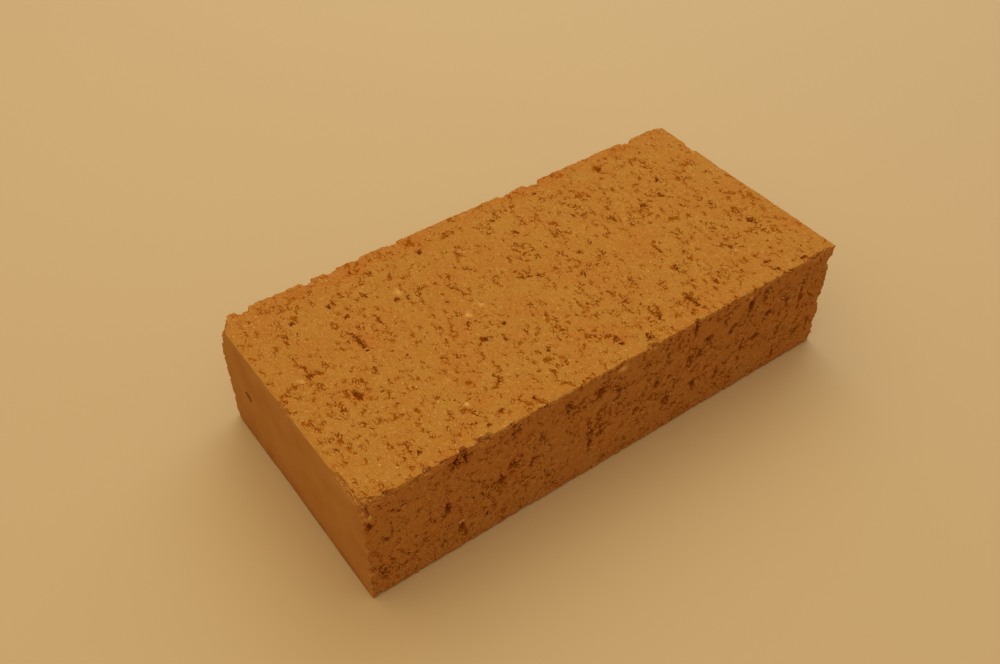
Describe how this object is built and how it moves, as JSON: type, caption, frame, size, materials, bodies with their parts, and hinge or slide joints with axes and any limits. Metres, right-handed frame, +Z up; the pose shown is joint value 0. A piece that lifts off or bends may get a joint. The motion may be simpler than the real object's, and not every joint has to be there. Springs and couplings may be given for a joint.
{
  "type": "fire brick",
  "caption": "Solid rectangular brick of fired chamotte clay, with torn wire-cut long sides, ragged arrises and smooth ends.",
  "frame": {"origin": "middle of the lower bed face, on the surface that the brick lies on", "axes": "+X along the length, with the pitted end at -X; +Y across the width, with the chipped wire-cut side at -Y; +Z up, from bed to bed"},
  "size_m": [0.25, 0.12, 0.06],
  "materials": {
    "fired_clay": "unglazed fired chamotte clay, dry and matt, ochre with darker tears"
  },
  "bodies": {
    "root": {"fire_brick": "fired_clay"}
  },
  "joints": []
}
